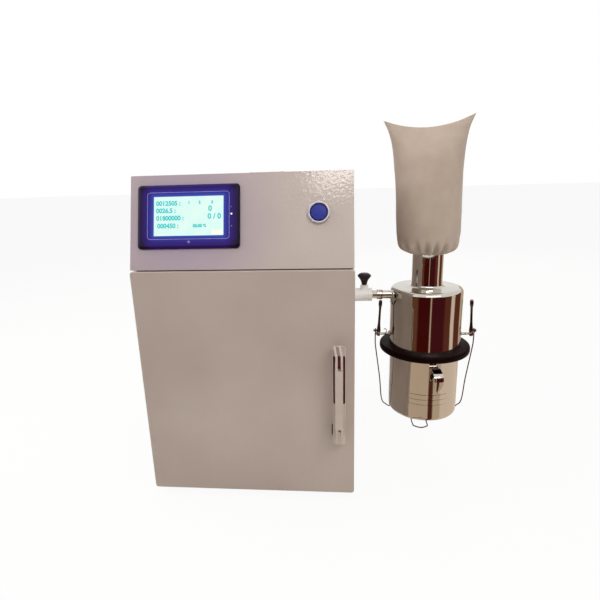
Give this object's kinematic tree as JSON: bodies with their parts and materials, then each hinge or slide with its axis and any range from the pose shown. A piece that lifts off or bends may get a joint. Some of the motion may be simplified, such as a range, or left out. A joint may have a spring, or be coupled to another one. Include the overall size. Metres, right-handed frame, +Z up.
{
  "type": "hammer cyclone mill",
  "caption": "Bench mill: a cabinet with hopper, screw feeder and hammer mill behind a hinged door, and a side-mounted cyclone collector with filter bag and clamped sample cup.",
  "frame": {"origin": "middle of the floor box, at the underside of the feet", "axes": "+X to the right as the operator sees it, +Y from the front to the back, +Z up"},
  "size_m": [0.4968, 0.4152, 0.5445],
  "materials": {
    "grey_paint": "satin orange-peel powder coat",
    "polished_steel": "mirror-polished stainless steel",
    "brushed_steel": "brushed stainless steel",
    "cast_aluminium": "machined casting, satin",
    "black_rubber": "smooth moulded rubber",
    "black_plastic": "fine-textured moulding",
    "blue_plastic": "glossy moulding",
    "screen_glass": "smooth, lit from behind",
    "grey_foam": "open-cell acoustic foam",
    "beige_cloth": "plain-woven filter cloth",
    "motor_paint": "satin enamel"
  },
  "bodies": {
    "cabinet": {"cabinet_shell": "grey_paint", "base_plate": "brushed_steel", "rear_cover": "grey_paint", "mill_bulkhead": "grey_paint", "foot_front_left": "black_rubber", "foot_front_right": "black_rubber", "foot_rear_left": "black_rubber", "foot_rear_right": "black_rubber", "control_panel": "grey_paint", "screen_unit": "black_plastic", "screen_display": "screen_glass", "button_bezel": "polished_steel", "button_body": "black_plastic", "hopper": "brushed_steel", "feed_tube": "brushed_steel", "feed_motor": "black_plastic", "mill_housing": "cast_aluminium", "temperature_probe": "brushed_steel", "mill_cover": "cast_aluminium", "cover_knob_bottom": "black_plastic", "cover_knob_right": "black_plastic", "cover_knob_left": "black_plastic", "screen_ring": "brushed_steel", "bearing_housing": "cast_aluminium", "front_bearing": "polished_steel", "rear_bearing": "polished_steel", "motor_body": "motor_paint", "motor_stand": "brushed_steel", "motor_drive": "black_plastic", "power_inlet": "black_plastic", "cooling_fan_frame": "black_plastic", "outlet_socket": "cast_aluminium"},
    "start_button": {"button_cap": "blue_plastic"},
    "lid": {"hopper_lid": "grey_paint"},
    "door": {"door_panel": "grey_paint", "door_foam": "grey_foam", "handle_base": "cast_aluminium"},
    "latch": {"handle_hub": "brushed_steel", "latch_cam": "brushed_steel"},
    "door_handle": {"handle_bar": "cast_aluminium"},
    "feed_screw": {"feed_screw": "brushed_steel"},
    "rotor": {"rotor": "brushed_steel", "hammer_1": "brushed_steel", "hammer_2": "brushed_steel", "hammer_3": "brushed_steel", "hammer_4": "brushed_steel", "rotor_shaft": "brushed_steel", "shaft_coupling": "cast_aluminium", "motor_shaft": "brushed_steel"},
    "fan": {"cooling_fan_rotor": "black_plastic"},
    "clamp": {"clamp_knob": "black_plastic"},
    "collector": {"cyclone_can": "polished_steel", "inlet_pipe": "polished_steel", "seal_ring": "black_rubber", "sample_cup": "polished_steel"},
    "bag": {"filter_bag": "beige_cloth"},
    "toggle_left": {"lever_left": "brushed_steel"},
    "toggle_right": {"lever_right": "brushed_steel"},
    "bail": {"wire_bail": "brushed_steel"}
  },
  "joints": [
    {"name": "button_press", "type": "slide", "parent": "cabinet", "child": "start_button", "axis": [0, 0.9593, -0.2823], "range_m": [0, 0.0025], "stiffness_N_per_m": 800},
    {"name": "lid_hinge", "type": "hinge", "parent": "cabinet", "child": "lid", "pos_m": [-0.07511, -0.03445, 0.47378], "axis": [-1, 0, 0], "range_deg": [0, 90]},
    {"name": "door_hinge", "type": "hinge", "parent": "cabinet", "child": "door", "pos_m": [-0.24591, -0.15725, 0.1795], "axis": [0, 0, -1], "range_deg": [0, 110]},
    {"name": "handle_turn", "type": "hinge", "parent": "door", "child": "latch", "pos_m": [0.03449, -0.18, 0.124], "axis": [0, -1, 0], "range_deg": [0, 90]},
    {"name": "handle_lift", "type": "hinge", "parent": "latch", "child": "door_handle", "pos_m": [0.03449, -0.20305, 0.124], "axis": [1, 0, 0], "range_deg": [0, 30]},
    {"name": "screw_spin", "type": "hinge", "parent": "cabinet", "child": "feed_screw", "pos_m": [-0.07511, -0.08, 0.328], "axis": [0, 1, 0], "continuous": true},
    {"name": "rotor_spin", "type": "hinge", "parent": "cabinet", "child": "rotor", "pos_m": [-0.07511, -0.05, 0.237], "axis": [0, 1, 0], "continuous": true},
    {"name": "fan_spin", "type": "hinge", "parent": "cabinet", "child": "fan", "pos_m": [-0.16911, 0.19, 0.384], "axis": [0, 1, 0], "continuous": true},
    {"name": "clamp_turn", "type": "hinge", "parent": "cabinet", "child": "clamp", "pos_m": [0.07359, -0.07955, 0.31], "axis": [0, 0, 1], "range_deg": [0, 360]},
    {"name": "collector_pull", "type": "slide", "parent": "cabinet", "child": "collector", "axis": [1, 0, 0], "range_m": [0, 0.025]},
    {"name": "bag_lift", "type": "slide", "parent": "collector", "child": "bag", "axis": [0, 0, 1], "range_m": [0, 0.03]},
    {"name": "toggle_left_turn", "type": "hinge", "parent": "collector", "child": "toggle_left", "pos_m": [0.09749, -0.06755, 0.223], "axis": [1, 0, 0], "range_deg": [0, 120]},
    {"name": "toggle_right_turn", "type": "hinge", "parent": "collector", "child": "toggle_right", "pos_m": [0.24049, -0.06755, 0.223], "axis": [1, 0, 0], "range_deg": [0, 120]},
    {"name": "bail_turn", "type": "hinge", "parent": "toggle_left", "child": "bail", "pos_m": [0.09279, -0.06668, 0.22792], "axis": [1, 0, 0], "range_deg": [-120, 0]}
  ],
  "couplings": [
    {"joint": "toggle_right_turn", "follows": "toggle_left_turn", "ratio": 1},
    {"joint": "bail_turn", "follows": "toggle_left_turn", "ratio": -1}
  ]
}
